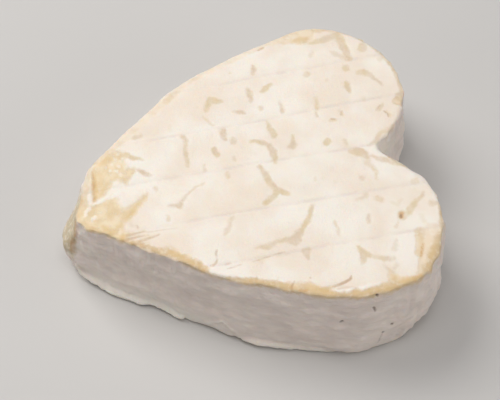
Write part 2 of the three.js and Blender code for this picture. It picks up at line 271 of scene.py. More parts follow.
# Outline of the white mould on the top, outside which the rind is worn yellow
mouldOutline = [
    # the point
    (-9.5, -43.6), (-8, -45.4), (-4, -47), (0, -47.6), (3, -47.4), (5, -47.2), (8, -48.3), (10, -47.3),
    (12.2, -44.2), (13.8, -41.2), (15.2, -38.8),
    # the right flank
    (16.8, -36.8), (18, -34.8), (18.9, -33), (20.2, -31.8), (20.8, -30.2), (22, -28.8), (22.2, -27.4),
    (22, -26), (23.2, -25.2), (23.6, -23.4), (25.1, -22.4), (25.9, -20.4), (27.4, -19.4), (28.2, -17.8),
    (29.9, -16.8), (31.2, -15.6), (32.9, -15.7), (34.1, -13.6), (34.7, -12), (34.9, -10.6), (35.5, -9.6),
    (35.6, -8.4), (36.1, -7), (36.2, -5.4), (36.8, -3.8), (37, -2.8), (37.8, -1.4), (38.1, 0), (38.7, 1),
    (38.8, 2.5), (39.8, 3.7), (39.8, 5.3), (40.4, 6.4), (40.3, 8), (40.7, 9.4), (40.8, 10.8),
    (41.9, 12.4),
    # the right lobe
    (42.9, 13.4), (43.2, 15.1), (43.2, 16.8), (43.6, 18), (44.2, 17.4), (44.4, 16.2), (45.4, 17),
    (46, 18.6), (45.7, 19.7), (46.4, 20.1), (46.1, 21.6), (45.6, 22.6), (45.8, 23.6), (46.8, 24.6),
    (46.3, 26.2), (45.8, 28), (46, 29.4), (45.2, 30.6), (45.3, 32.2), (44.6, 32.7), (43.6, 32.5),
    (42.4, 33.4), (43.1, 34.9), (43.8, 35.4), (44.7, 36.4), (44.4, 37.8), (45, 39.3), (44.5, 40.6),
    (43.2, 41.4), (41.5, 42), (39.4, 42.3), (38.2, 41.6), (37, 42.2), (35, 42.8), (32.5, 43.2),
    (30.3, 43.8), (29.8, 45.5), (30.4, 46.8), (29, 47.8), (29.3, 49.4), (29.9, 50.8), (28, 51.8),
    (25.5, 52.5), (22, 53.3), (18, 53), (14, 51.6), (11, 49.8), (9, 47.8),
    # the notch
    (8.2, 46.2), (7, 45.2), (5.6, 43.6), (4.2, 42.6), (2, 42), (0, 42.4), (-1.6, 43.6), (-3.2, 44.6),
    (-4.6, 46.4), (-6.4, 48.6), (-8.5, 50.2),
    # the back of the left lobe
    (-10, 50.8), (-12.5, 51.4), (-13.2, 49.8), (-14.6, 48.9), (-16, 50), (-16.8, 51.8), (-19, 52.2),
    (-22, 52.2), (-25, 51.9), (-28, 51.4), (-30.5, 50.4), (-33, 49.6), (-35, 48.2), (-37.4, 47.2),
    (-39.5, 45.2), (-41.4, 43.6), (-42.9, 41.6), (-44, 40),
    # the left lobe and the left flank
    (-44.6, 38.2), (-44.2, 36.8), (-45.3, 35.4), (-45, 33.6), (-45.4, 31.8), (-43.6, 31.2), (-42.4, 30.4),
    (-41.6, 28.8), (-41.4, 26.7), (-41.9, 24.6), (-42.6, 23), (-42.4, 21.2), (-43.3, 19.7), (-42.9, 17.8),
    (-43.2, 16), (-42.1, 14.8), (-41.6, 13), (-40.9, 11.2), (-40.6, 9.4), (-39.4, 7.8), (-38.9, 5.6),
    (-38.2, 4.1), (-38, 2), (-36.9, 0.6), (-36.9, -1.4), (-35.6, -2.6), (-35.8, -4.4), (-34.6, -5.8),
    (-34.3, -7.6), (-33.6, -9), (-32.8, -10.8), (-31.3, -12.2), (-30.6, -13.6), (-29, -14.7),
    (-27.9, -16.2), (-27.2, -18), (-25.7, -19), (-25, -20.8), (-23.6, -21.8), (-22.9, -23.8),
    (-21.3, -24.8), (-20.4, -26.8), (-18.9, -27.8), (-18, -29.8), (-16.3, -31.1), (-15, -33.2),
    (-13.8, -35), (-12.6, -37.4), (-11.4, -39.4), (-10, -41.2),
]

# Outlines of the bare yellow paste at the worn point
barePaste = [
    [
        (-13, -34.3), (-12.3, -33.4), (-10.5, -33), (-8, -33.3), (-6.5, -33.6), (-5.8, -32.3),
        (-4.5, -31.4), (-3.6, -32.4), (-2.8, -33.6), (-0.8, -34.1), (-1.8, -35.3), (-3, -36.1),
        (-2.5, -37.8), (-1, -38.8), (0.3, -40.1), (1.5, -41), (2.2, -42.8), (3, -44.4), (0, -44.3),
        (-4, -44.1), (-8, -43.7), (-9.3, -43.2), (-10.8, -41.3), (-12, -39.6), (-12.6, -37.8),
        (-13.1, -35.8),
    ],
    [
        (3.6, -29), (4.7, -28.9), (6.5, -30.8), (8.6, -32.6), (10, -34), (11, -35.4), (11.6, -36.8),
        (12.8, -37.1), (15, -36.9), (15.6, -35.2), (16.2, -36.6), (17, -37.2), (17.8, -38.2), (16, -40.8),
        (13.5, -43.8), (11.5, -46.6), (9.5, -49.4), (8.5, -50.8), (5.5, -49.6), (3.5, -48.1),
        (4.3, -45.8), (4, -43.8), (3, -41.1), (2, -38.6), (3.5, -37.4), (6.5, -37.1), (7.2, -35.8),
        (6.3, -33.8), (5.2, -31.8), (4.2, -30.3),
    ],
]

# Places where the paste and the worn rind are a deeper golden yellow
goldenPlaces = [
    (0.9, [(-7, -43.2, 0.6), (-4.5, -42.9, 1.4), (-1, -43.1, 1.6), (2.5, -43.8, 0.8)]),
    (0.3, [(-6, -41.4, 2), (-1, -41.6, 2.2), (1, -42.4, 1.4)]),
    (0.6, [(4.2, -29.5, 1.1), (6.5, -32, 1.5), (9, -34.3, 1.6), (10.6, -35.8, 1.2)]),
    (0.8, [(15.6, -36.6, 1), (16.2, -37.6, 1.8), (17, -38.4, 1.4)]),
    (0.6, [(11.8, -37.6, 1.2), (12.6, -38.3, 1.6), (13.4, -39.8, 1.4), (14.4, -40, 1)]),
    (0.7, [(11.6, -43, 1.2), (12.8, -42.2, 2), (14.4, -41.2, 1.8)]),
    (0.4, [(18.9, -35.8, 0.8), (20.4, -33.4, 1)]),
    (0.6, [(3.7, -45.1, 0.7), (4, -43.8, 0.5)]),
    (0.5, [(9.4, -49, 1), (11.6, -46.4, 1.4), (13.2, -43.8, 1.2)]),
    (0.4, [(-11.5, -37.3, 1.8), (-9.5, -40.3, 2.2)]),
    (0.7, [(45, 41.9, 1.4), (45.6, 39.9, 1.6), (45.7, 37.6, 1.8), (46, 35.6, 1.4)]),
    (0.5, [(43.4, 33.8, 1), (44.6, 34.3, 1.8)]),
    (0.5, [(47.4, 35.5, 1), (47.4, 31, 1.2), (47.3, 26, 1.4), (46.9, 22.5, 1.2)]),
    (0.3, [(35.5, 48.2, 1.4), (38, 47, 1.6), (40, 45.9, 1.4)]),
    (0.4, [(33, 44.8, 1), (36, 44.3, 1.2), (39, 43.2, 1)]),
    (0.6, [(42.4, 10.2, 2.2), (44, 13.7, 2), (45.6, 16.7, 1.4)]),
    (0.4, [(37, -6.3, 1), (39.2, -1.3, 1), (41, 3.7, 1.2), (42, 7.2, 1.4)]),
    (0.6, [(24, -25.3, 1.6), (26.5, -22.1, 1.4), (31.3, -17, 1)]),
    (0.6, [(-43.4, 28.5, 1.2), (-43.6, 26.5, 2.2), (-43.3, 24.4, 1.2)]),
    (0.5, [(-41.2, 38.9, 1.8), (-42.6, 38.7, 1.4)]),
    (0.4, [(-28.5, -17.2, 1.2)]),
]

# White flakes and the thin white ridge of mould left on the bare paste
flakes = [
    (1.0, [(1.6, -36.8, 1.6), (2.2, -38.4, 1.1), (2.5, -40.4, 0.8), (3.2, -42.4, 0.8), (3.9, -44.6, 0.5)]),
    (0.75, [(4.9, -46, 1.4), (6, -47, 1.2), (7.2, -47.4, 0.8)]),
    (0.7, [(0.2, -45.3, 0.8), (1.8, -45.6, 1.1)]),
    (0.75, [(8.2, -44.7, 1.3), (8.8, -45.5, 0.9)]),
    (0.3, [(13.4, -38.2, 0.8), (14.8, -38.4, 1)]),
    (0.3, [(12.6, -39.6, 0.7)]),
    (0.5, [(-9.1, -34.8, 1)]),
    (0.5, [(-7.5, -35.5, 1.1)]),
    (0.5, [(-10.4, -36.2, 1)]),
    (0.6, [(-6.1, -36.4, 1.3)]),
    (0.6, [(-8.4, -37.3, 1)]),
    (0.5, [(-4.7, -35.4, 1.2)]),
    (0.6, [(-10, -34.1, 0.9)]),
    (0.6, [(-6.6, -38.2, 1)]),
    (0.5, [(-11.7, -35.1, 0.8)]),
]

# Raised white lip of torn mould along the right lobe
tornLip = [
    [
        (44.4, 16.1), (45.4, 17), (46, 18.6), (45.7, 19.7), (46.4, 20.1), (46.1, 21.6), (45.7, 22.6),
        (45.9, 23.6), (46.8, 24.6), (46.3, 26.2), (45.9, 28), (46, 29.4), (45.3, 30.6), (45.3, 32.2),
        (44.9, 31.5), (45.1, 28.5), (45, 25.6), (45.4, 23.4), (45.2, 21.2), (45.1, 18.9),
    ],
]

# Deep orange places where the paste has dried
amberPlaces = [
    (0.55, [(24.4, 41.4, 1.5), (25.5, 41.1, 1.3)]),
    (0.7, [(35.2, 45, 0.3), (36.8, 44.3, 0.6), (39.3, 43.2, 0.4)]),
    (0.4, [(-7.5, -43.4, 0.5), (-3, -43.7, 0.9), (2.8, -44.2, 0.6)]),
    (0.3, [(45.4, 41, 0.6), (46, 39.4, 0.5)]),
    (0.5, [(-42.6, 14.7, 0.5), (-41.8, 13.2, 0.7)]),
    (0.4, [(42.9, 7.8, 0.6), (43.4, 9.6, 0.5)]),
    (0.6, [(40.6, 6, 0.4), (42, 5.5, 0.5)]),
]

# Cracks and scratches in the rind, and painted shade in the creases of the torn lip
cracksAndCreaseShade = [
    (0.75, [(41.4, 22.6, 0.5), (42.3, 22.3, 0.8), (42.9, 20.8, 0.9), (43.4, 18.9, 0.9), (43.7, 17, 0.5)]),
    # these two are painted shade in the creases of the torn lip
    (0.4, [(45.4, 22.5, 0.3), (45.5, 23.6, 0.4)]),
    (0.25, [(44.7, 18, 0.6), (44.7, 20.4, 0.8), (44.9, 22.4, 0.4)]),
    (0.7, [(39.9, 6.8, 0.3), (41.2, 5.8, 0.5), (42.3, 5.4, 0.3)]),
    (0.4, [(38.6, 1.5, 0.3), (39.9, 1.2, 0.4)]),
    (0.4, [(37.8, 2.6, 0.3), (38.9, 2.3, 0.3)]),
    (0.4, [(36.3, -3.1, 0.3), (37.4, -3.4, 0.4)]),
    (0.6, [(25.8, -12.5, 0.5), (26.8, -12.9, 0.6), (28, -13, 0.3), (29, -13, 0.5), (29.9, -13.5, 0.6),
        (30.5, -14.4, 0.6), (30.4, -15.3, 0.4)]),
    (0.45, [(31.7, -6.5, 0.3), (32, -8.3, 0.5), (32.4, -10.7, 0.3)]),
    (0.3, [(30.6, -9.6, 0.7), (30.9, -11, 0.7)]),
    (0.25, [(16.5, -22.5, 0.4), (16.3, -26.9, 0.5), (16.1, -31, 0.5)]),
    (0.4, [(15.7, -31.4, 0.4), (15.9, -34, 0.7), (16.2, -36.6, 1)]),
    (0.45, [(17.1, -31.8, 0.4), (17.3, -35, 0.9), (17.5, -37.8, 0.8)]),
    (0.4, [(17.7, -27.6, 0.4), (18.3, -30.6, 0.7), (18.8, -33.4, 0.7)]),
    (0.4, [(19.7, -32.4, 0.5), (19.3, -35.2, 0.8)]),
    (0.35, [(21, -30.8, 0.4), (20.6, -33, 0.6)]),
    (0.35, [(13.3, -33.4, 0.5), (14, -33.1, 0.6)]),
    (0.3, [(13.4, -38.6, 0.5), (14.6, -39.2, 0.6)]),
    (0.5, [(39.7, 11.4, 0.6)]),
    (0.5, [(31.5, -3.5, 0.3), (31, -0.6, 0.4), (30.4, 3.3, 0.4), (30.1, 6.2, 0.3)]),
    (0.5, [(-15.1, 25.4, 0.4), (-13.5, 25.6, 0.5)]),
    (0.6, [(-12, 29.2, 0.5), (-11.7, 30.4, 0.4)]),
    (0.5, [(-14.2, 33.1, 0.4), (-12.8, 32.5, 0.6)]),
    (0.7, [(-11.7, 45.5, 0.5), (-10.4, 46.3, 0.5), (-9.3, 46.1, 0.4)]),
    (0.5, [(-14.2, 44.9, 0.5), (-12.5, 43.2, 0.4)]),
    (0.6, [(-42.7, 15, 0.4), (-41.8, 13.1, 0.6)]),
]

# Small brown pits in the side, and one in the top: strength, then (x, y, z, width)
sidePits = [
    (1.0, [(48.1, 28.4, 31.9, 0.9)]),
    (0.7, [(48.9, 27.8, 26, 0.8), (49, 28.2, 24.6, 0.6)]),
    (1.0, [(48.7, 18.5, 20.3, 0.6), (48.8, 19.1, 20.9, 0.7)]),
    (0.9, [(49.4, 33.9, 14.8, 1)]),
    (0.8, [(49.7, 31.4, 11.4, 0.9)]),
    (0.5, [(24.7, 41.3, 33.1, 0.7), (25.4, 41.1, 33.1, 0.9)]),
    (0.35, [(49.7, 31.2, 10.4, 0.5), (49.6, 30.5, 4.5, 0.5)]),
]

# Brown stains down the corner of the point
pointStain = [
    (1.0, [(7.2, -50.4, 29.5, 1.6), (7.2, -50.8, 26.5, 2), (7.2, -51.4, 23, 1.6)]),
    (1.0, [(6.8, -52.6, 20, 1.2), (6.6, -53.1, 16.6, 1.8), (6.8, -53.2, 13.5, 1.2)]),
]

# Thin lips where the rind has spread out along the foot, which the colour also lightens as a painted
# highlight
footLips = [
    (0.9, [(7.6, -53, 7, 0.8), (8.4, -51.9, 3.5, 1.2), (10.8, -49.4, 2.6, 1.6), (12.7, -47, 1.8, 1.8)]),
    (1.0, [(12.7, -47, 1.8, 1.8), (15.8, -43.3, 1.5, 2), (19.3, -38.2, 1.4, 2), (22.5, -33.5, 1.6, 1.8)]),
    (0.8, [(22.5, -33.5, 1.6, 1.8), (26, -28.4, 2, 1.4), (29, -24.4, 1.6, 1)]),
    (0.35, [(33, -17.8, 3.2, 0.6), (34.5, -16, 5.2, 0.7), (36.1, -13.3, 9, 0.7)]),
    (0.35, [(36.1, -13.3, 9, 0.7), (37.2, -11.3, 6.6, 0.7), (38.5, -9.1, 4.2, 0.6)]),
    (1.0, [(38.7, -9.4, 1.8, 0.4), (40.3, -5.5, 2.4, 1.4), (41.9, -1.7, 2.2, 1.6), (43.6, 2.4, 2, 1.2)]),
    (0.75, [(43.6, 2.4, 2, 1.2), (45, 6, 1.6, 0.9)]),
    (0.5, [(45, 6, 1.6, 0.9), (47, 14.2, 1.2, 1.1), (48, 19.2, 1.2, 0.4)]),
]

# Limits of the distances that are kept for each point, in millimetres
fieldLimits = {
    "outsideStrokes": -4.0,
    "outsideOutlines": -8.0,
    "stored": (-4, 12),
    "shortest": 1e-6,  # the least squared length that a stroke is divided by
}


def strokeField(points, strokes):
    # distance inside the nearest stroke's edge, in millimetres, and that stroke's strength
    edge = np.full(len(points), fieldLimits["outsideStrokes"])
    strength = np.zeros(len(points))
    for weight, path in strokes:
        places = np.array(path)
        spots, halves = places[:, :-1], places[:, -1] / 2
        around = points[:, :spots.shape[1]]
        if len(spots) == 1:
            spots, halves = np.repeat(spots, 2, 0), np.repeat(halves, 2)
        for start, end, halfStart, halfEnd in zip(spots, spots[1:], halves, halves[1:]):
            along = end - start
            share = np.clip((around - start) @ along / max(along @ along, fieldLimits["shortest"]), 0, 1)
            gap = np.linalg.norm(around - start - share[:, None] * along, axis=1)
            inside = halfStart + (halfEnd - halfStart) * share - gap
            nearer = inside > edge
            edge[nearer] = inside[nearer]
            strength[nearer] = weight
    return edge, strength


def areaField(points, outlines):
    # distance inside the edge of the nearest outline, in millimetres, and negative outside all of them
    field = np.full(len(points), fieldLimits["outsideOutlines"])
    x, y = points[:, 0], points[:, 1]
    for outline in outlines:
        corners = np.array(outline)
        gap = np.full(len(points), np.inf)
        inside = np.zeros(len(points), bool)
        for start, end in zip(corners, np.roll(corners, -1, 0)):
            along = end - start
            fromStart = points[:, :2] - start
            share = np.clip(fromStart @ along / max(along @ along, fieldLimits["shortest"]), 0, 1)
            gap = np.minimum(gap, np.linalg.norm(fromStart - share[:, None] * along, axis=1))
            if start[1] != end[1]:
                level = (start[1] > y) != (end[1] > y)
                inside ^= level & (x < start[0] + (y - start[1]) * along[0] / along[1])
        field = np.maximum(field, np.where(inside, gap, -gap))
    return field


def smoothStep(values, start, full):
    # 0 before the start, 1 beyond the full value, and a smooth rise between them
    share = np.clip((values - start) / (full - start), 0, 1)
    return share * share * (3 - 2 * share)


def fadedStep(values, start, full, least):
    # the same rise, from a least share instead of 0
    return least + (1 - least) * smoothStep(values, start, full)


def nearValue(values, middle, width):
    # 1 at the middle, falling to about a third at one width from it
    return np.exp(-((values - middle) / width) ** 2)


def nearSpot(points, spot):
    # the same in two directions, round a spot seen from above
    x, y, reachX, reachY = spot
    return np.exp(-((points[:, 0] - x) / reachX) ** 2 - ((points[:, 1] - y) / reachY) ** 2)


# Noises of the relief: width of the features along x, y and z in millimetres, octaves and an offset
reliefNoise = {
    "edgeGrain": ((1.3, 1.3, 1.3), 2, 7.0),
    "edgeShakeX": ((1.7, 1.7, 1.7), 3, 3.0),
    "edgeShakeY": ((1.7, 1.7, 1.7), 3, 8.0),
    "bandEdge": ((4, 4, 4), 2, 8.0),
    "topWaves": ((9, 12, 9), 3, 0.0),
    "topGrain": ((1.2, 1.2, 1.2), 2, 5.0),
    "sideWaves": ((11, 11, 8), 2, 1.0),
    "sideLumps": ((5, 5, 4), 2, 6.0),
    "sideSweeps": ((8, 8, 2.6), 2, 2.0),
    "sideFibres": ((2.5, 2.5, 0.9), 2, 11.0),
    "sideFolds": ((3.5, 3.5, 15), 2, 13.0),
    "pointStreaks": ((2, 2, 8), 3, 4.0),
    "lipGrooves": ((1.2, 6, 2), 2, 12.0),
}


def noiseAt(points, name):
    # a soft noise from about -1 to 1 at each point
    sizes, octaves, offset = reliefNoise[name]
    scaled = points / np.array(sizes) + offset
    return np.array([noise.fractal(place, 1.0, 2.0, octaves) for place in scaled.tolist()])


# The band of worn rind along the rim
rimBand = {
    "slope": 45,  # degrees, at the middle of the rim's rounding
    "lowest": 25,  # the rim lies higher than this
    "downward": 0.5,  # how far down the side it reaches
    "downwardNoise": 0.5,
    "downwardFront": 0.3,  # how much further down it reaches at the front
    "front": (24, 34),  # where in x that begins and is in full
    "fading": 0.6,  # a lower value makes its lower edge softer
    "leftFade": 0.5,  # how much paler it is along the left flank
    "leftFlank": (-6, -18),  # where in x that begins and is in full
    "leftLength": (26, 12),  # and where in y
    "lobeFade": 0.5,  # how much paler it is beside the bare patch of the right lobe
    "lobePatch": (30, 48.5, 3, 4),  # place of that patch in x and y, and its reach along each
}


def rimDistances(mesh, points, normals):
    # millimetres from the middle of the rim's rounding, inward on the top and negative down the side
    slope = np.degrees(np.arctan2(normals[:, 2], np.linalg.norm(normals[:, :2], axis=1)))
    ends = np.zeros(len(mesh.edges) * 2, np.int32)
    mesh.edges.foreach_get("vertices", ends)
    first, second = ends.reshape(-1, 2).T
    across = (slope[first] - rimBand["slope"]) * (slope[second] - rimBand["slope"]) < 0
    across &= points[first, 2] > rimBand["lowest"]
    first, second = first[across], second[across]
    share = (rimBand["slope"] - slope[first]) / (slope[second] - slope[first])
    middle = points[first] + share[:, None] * (points[second] - points[first])
    tree = kdtree.KDTree(len(middle))
    for number, place in enumerate(middle.tolist()):
        tree.insert(place, number)
    tree.balance()
    gaps = np.array([tree.find(place)[2] for place in points.tolist()])
    return np.where((slope > rimBand["slope"]) & (points[:, 2] > rimBand["lowest"]), gaps, -gaps)


def bandField(points, rim):
    # distance inside the worn band, and how strongly it is coloured
    x, y = points[:, 0], points[:, 1]
    downward = rimBand["downward"] + rimBand["downwardNoise"] * noiseAt(points, "bandEdge")
    downward += rimBand["downwardFront"] * smoothStep(x, *rimBand["front"])
    band = np.minimum(-areaField(points, [mouldOutline]), rimBand["fading"] * rim + downward)
    onLeft = smoothStep(x, *rimBand["leftFlank"]) * smoothStep(y, *rimBand["leftLength"])
    cover = 1 - rimBand["leftFade"] * onLeft
    cover -= rimBand["lobeFade"] * nearSpot(points, rimBand["lobePatch"])
    return band, cover


# Zones of the rind: where each begins and where it is in full, in millimetres or as a part of 1
rindZones = {
    "top": (0.5, 0.9),  # how far the surface faces up
    "side": (0.3, 0.8),  # how far it doesn't
    "aboveBase": (0.05, 1.5),  # in z
    "point": (-8, -30),  # in y
    "lobes": (24, 38),  # in y
    "flankLength": (-5, -25),  # the front flank beside the point, in y
    "flankSide": (4, 12),  # and in x
}


def zoneShares(points, normals):
    # how far each point belongs to each zone, from 0 to 1
    x, y, z = points.T
    side = smoothStep(1 - np.abs(normals[:, 2]), *rindZones["side"])
    flank = side * smoothStep(y, *rindZones["flankLength"]) * smoothStep(x, *rindZones["flankSide"])
    return {
        "top": smoothStep(normals[:, 2], *rindZones["top"]),
        "side": side,
        "aboveBase": smoothStep(z, *rindZones["aboveBase"]),
        "point": smoothStep(y, *rindZones["point"]),
        "lobes": smoothStep(y, *rindZones["lobes"]),
        "flank": flank,
    }


# Sculpting of the rind, heights and depths in millimetres
rindRelief = {
    "edgeGrain": 0.35,  # how uneven the edges of the marks are
    "edgeShake": 0.4,  # and how far they wander
    "topWaves": 0.1,
    "topGrain": 0.04,
    "sideWaves": 0.5,
    "sideLumps": 0.4,
    "sideSweeps": 0.2,
    "sweepLean": 0.35,  # how steeply the sweeps rise toward the lobes
    "sweepCalm": 0.7,  # how much weaker they are at the point
    "sideFibres": 0.08,
    "sideFolds": 0.7,
    "pointStreaks": 0.3,
    "lipGrooves": 0.2,
    "lipGrooveWidth": 0.12,  # as a part of the noise that places them
}

# Hollows along the front flank beside the point: depth, height of the middle, and width
flankHollows = [(1.6, 15, 6.5), (0.7, 5.5, 2.5)]


def raiseSide(lift, points, zones):
    # adds the waves, sweeps, fibres, folds, hollows and streaks of the side to the lift
    side, point = zones["side"], zones["point"]
    leaning = points.copy()
    leaning[:, 2] -= rindRelief["sweepLean"] * points[:, 1]
    calm = 1 - rindRelief["sweepCalm"] * point
    for name in ("sideWaves", "sideLumps"):
        lift += rindRelief[name] * side * noiseAt(points, name)
    lift += rindRelief["sideSweeps"] * side * calm * noiseAt(leaning, "sideSweeps")
    lift += rindRelief["sideFibres"] * side * noiseAt(points, "sideFibres")
    lift += rindRelief["sideFolds"] * side * zones["lobes"] * noiseAt(points, "sideFolds")
    for depth, middle, width in flankHollows:
        lift -= depth * zones["flank"] * nearValue(points[:, 2], middle, width)
    lift += rindRelief["pointStreaks"] * side * point * noiseAt(points, "pointStreaks")


# Lines that the draining rack left in the top
rackGrooves = {
    "lines": [(-32, -0.03), (-16.2, -0.03), (-0.6, 0), (15, 0), (30.6, 0)],  # x, and how far each leans
    "leanFrom": 20,  # the y at which a leaning line has that x
    "fill": 0.16,  # how much of the solid's groove the mould fills
    "fillWidth": 1.1,
    "line": 0.18,  # depth of the fine line that is left
    "lineWidth": 0.45,
    # width of the painted shade along each line
    "colourWidth": 0.5,
}


def acrossGroove(points, place, lean):
    return points[:, 0] - place - lean * (points[:, 1] - rackGrooves["leanFrom"])


def grooveShare(points, top):
    # where the painted shade of the rack grooves lies on the top
    groove = np.zeros(len(points))
    for place, lean in rackGrooves["lines"]:
        across = acrossGroove(points, place, lean)
        groove = np.maximum(groove, top * nearValue(across, 0, rackGrooves["colourWidth"]))
    return groove


def raiseTop(lift, points, top):
    # adds the waves of the top and the fine grooves to the lift
    for name in ("topWaves", "topGrain"):
        lift += rindRelief[name] * top * noiseAt(points, name)
    for place, lean in rackGrooves["lines"]:
        across = acrossGroove(points, place, lean)
        lift += rackGrooves["fill"] * top * nearValue(across, 0, rackGrooves["fillWidth"])
        lift -= rackGrooves["line"] * top * nearValue(across, 0, rackGrooves["lineWidth"])


# The marks that are lists of strokes
strokeMarks = {
    "mark": topMarks,
    "golden": goldenPlaces,
    "flake": flakes,
    "amber": amberPlaces,
    "crackAndCreaseShade": cracksAndCreaseShade,
    "pit": sidePits,
}

# How far down over the rim the marks of the top reach, in millimetres
downOverRim = {"mark": 0.6, "flake": 0.6, "crackAndCreaseShade": 0.6, "paste": 0.9, "amber": 0.9}


def markFields(points, rim):
    # distances inside the edges of all the marks, and their strengths
    shaken = points.copy()
    for axis, name in enumerate(("edgeShakeX", "edgeShakeY")):
        shaken[:, axis] += rindRelief["edgeShake"] * noiseAt(points, name)
    fields = {"paste": areaField(shaken, barePaste), "lip": areaField(points, tornLip)}
    for name, strokes in strokeMarks.items():
        around = shaken if name == "mark" else points
        fields[name], fields[name + "Strength"] = strokeField(around, strokes)
    for name, reach in downOverRim.items():
        fields[name] = np.minimum(fields[name], rim + reach)
    fields["stain"] = strokeField(points, pointStain)[0]
    fields["band"], fields["bandCover"] = bandField(points, rim)
    return fields


# Relief of the marks: height, the distances inside the edge where it begins and is in full, and 1 if
# the edge is uneven
markRelief = {
    "mark": (-0.1, -0.6, 0.8, 1),
    "band": (-0.07, -0.5, 0.6, 1),
    "paste": (-0.15, -0.6, 0.8, 1),
    "flake": (0.12, -0.4, 0.4, 1),
    "lip": (0.2, -0.2, 0.6, 1),
    "crackAndCreaseShade": (-0.12, -0.35, 0.2, 0),
    "pit": (-0.45, -0.3, 0.3, 0),
}


def raiseMarks(lift, points, fields, shake):
    covered = {}
    for name, (height, start, full, unevenness) in markRelief.items():
        covered[name] = smoothStep(fields[name] + unevenness * shake, start, full)
        lift += height * fields.get(name + "Strength", 1.0) * covered[name]
    grooves = smoothStep(np.abs(noiseAt(points, "lipGrooves")), rindRelief["lipGrooveWidth"], 0)
    lift -= rindRelief["lipGrooves"] * covered["lip"] * grooves


# The crease across the point, whose inner side lies lower than the lip beyond it
pointCrease = {
    "depth": 0.15,
    "place": (-8, -43.5),  # x and y of a place on it
    "lean": -0.05,
    "leftEnd": (-10, -7),
    "rightEnd": (4, 2),
    "edge": (-0.3, 0.2),
    "width": 2.6,
}


def creasePoint(lift, points, top):
    x, y = points[:, 0], points[:, 1]
    startX, startY = pointCrease["place"]
    beyond = y - (startY + pointCrease["lean"] * (x - startX))
    across = smoothStep(x, *pointCrease["leftEnd"]) * smoothStep(x, *pointCrease["rightEnd"])
    inner = smoothStep(beyond, *pointCrease["edge"])
    inner *= nearValue(np.maximum(beyond, 0), 0, pointCrease["width"])
    lift -= pointCrease["depth"] * across * inner * top


# The lip at the foot, with a recess above it
footLip = {
    "height": 1.0,
    "edge": (-0.3, 0.3),
    "unevenness": 0.5,
    "recess": 0.4,  # depth, as a part of the lip's height
    "recessMiddle": -1,  # distance inside the lip's edge, so it lies outside
    "recessWidth": 0.7,
}


def footLift(spread, strength, shake):
    lip = smoothStep(spread + footLip["unevenness"] * shake, *footLip["edge"])
    recess = footLip["recess"] * nearValue(spread, footLip["recessMiddle"], footLip["recessWidth"])
    return footLip["height"] * strength * (lip - recess)


# Zones that only the colours need: where each begins and is in full, in millimetres
colourZones = {
    "endLength": (-45.5, -48),  # the flat end of the point, in y
    "endSide": (8.5, 6.5),  # in x
    "endFacing": (-0.15, -0.4),  # and in the y of the surface's direction
    "endHeight": (5, 17),  # it fades downward
    "endLow": 0.3,
    "endAcross": (-9, 3),  # and to the left
    "endLeft": 0.45,
    "notch": (-0.5, 42, 5, 5),  # place in x and y, and the reach along each, of the painted light on the notch's wall
    "rimWidth": (3.5, 0.4),  # distance from the rim
    "rimAcross": (-28, 4),  # what lies near the rim fades to the left
    "rimLeft": 0.3,
    "footHeight": 1,  # the painted light at the foot of the flank, in z
    "footWidth": 6,
    "fullHeight": 33,  # of the cheese
}


def colourFields(points, normals, zones, rim):
    x, y, z = points.T
    end = smoothStep(y, *colourZones["endLength"]) * smoothStep(x, *colourZones["endSide"])
    end *= smoothStep(normals[:, 1], *colourZones["endFacing"])
    end *= fadedStep(z, *colourZones["endHeight"], colourZones["endLow"])
    end *= fadedStep(x, *colourZones["endAcross"], colourZones["endLeft"])
    nearRim = smoothStep(rim, *colourZones["rimWidth"])
    nearRim *= fadedStep(x, *colourZones["rimAcross"], colourZones["rimLeft"])
    # painted light: the side is made paler at the flank's foot and in the notch, where more light falls on
    # the wall
    footPaintedLight = zones["flank"] * nearValue(z, colourZones["footHeight"], colourZones["footWidth"])
    notchPaintedLight = zones["side"] * nearSpot(points, colourZones["notch"])
    return {
        "side": zones["side"],
        "end": end,
        "nearRim": nearRim,
        "paintedLight": np.maximum(footPaintedLight, notchPaintedLight),
        "height": z / colourZones["fullHeight"],
    }


def sculptRind(mesh):
    points = meshArray(mesh.vertices, "co") * 1000
    normals = meshArray(mesh.vertex_normals, "vector")
    rim = rimDistances(mesh, points, normals)
    zones = zoneShares(points, normals)
    shake = rindRelief["edgeGrain"] * noiseAt(points, "edgeGrain")
    fields = markFields(points, rim)
    fields["foot"], footStrength = strokeField(points, footLips)
    fields["groove"] = grooveShare(points, zones["top"])

    lift = np.zeros(len(points))
    raiseTop(lift, points, zones["top"])
    raiseSide(lift, points, zones)
    raiseMarks(lift, points, fields, shake)
    creasePoint(lift, points, zones["top"])
    points += normals * (lift * zones["aboveBase"])[:, None]
    points += normals * footLift(fields["foot"], footStrength, shake)[:, None]
    points[:, 2] = np.maximum(points[:, 2], 0)
    mesh.vertices.foreach_set("co", (points / 1000).astype(np.float32).ravel())
    mesh.update()

    fields.update(colourFields(points, normals, zones, rim))
    for name, values in fields.items():
        layer = mesh.attributes.new(name, "FLOAT", "POINT")
        layer.data.foreach_set("value", np.clip(values, *fieldLimits["stored"]).astype(np.float32))


sculptRind(body.data)
for face in body.data.polygons:
    face.use_smooth = True
print("rind sculpted")


# Small functions that build shaders

def addNode(tree, kind, **settings):
    node = tree.nodes.new(kind)
    for name, value in settings.items():
        setattr(node, name, value)
    return node


def feed(tree, socket, value):
    if isinstance(value, bpy.types.NodeSocket):
        tree.links.new(value, socket)
    else:
        socket.default_value = value


def mathNode(tree, operation, first, second):
    node = addNode(tree, "ShaderNodeMath", operation=operation)
    feed(tree, node.inputs[0], first)
    feed(tree, node.inputs[1], second)
    return node.outputs[0]


def stepNode(tree, value, low, high, outLow=0.0, outHigh=1.0):
    node = addNode(tree, "ShaderNodeMapRange", interpolation_type="SMOOTHSTEP")
    names = ("Value", "From Min", "From Max", "To Min", "To Max")
    for name, given in zip(names, (value, low, high, outLow, outHigh)):
        feed(tree, node.inputs[name], given)
    return node.outputs["Result"]


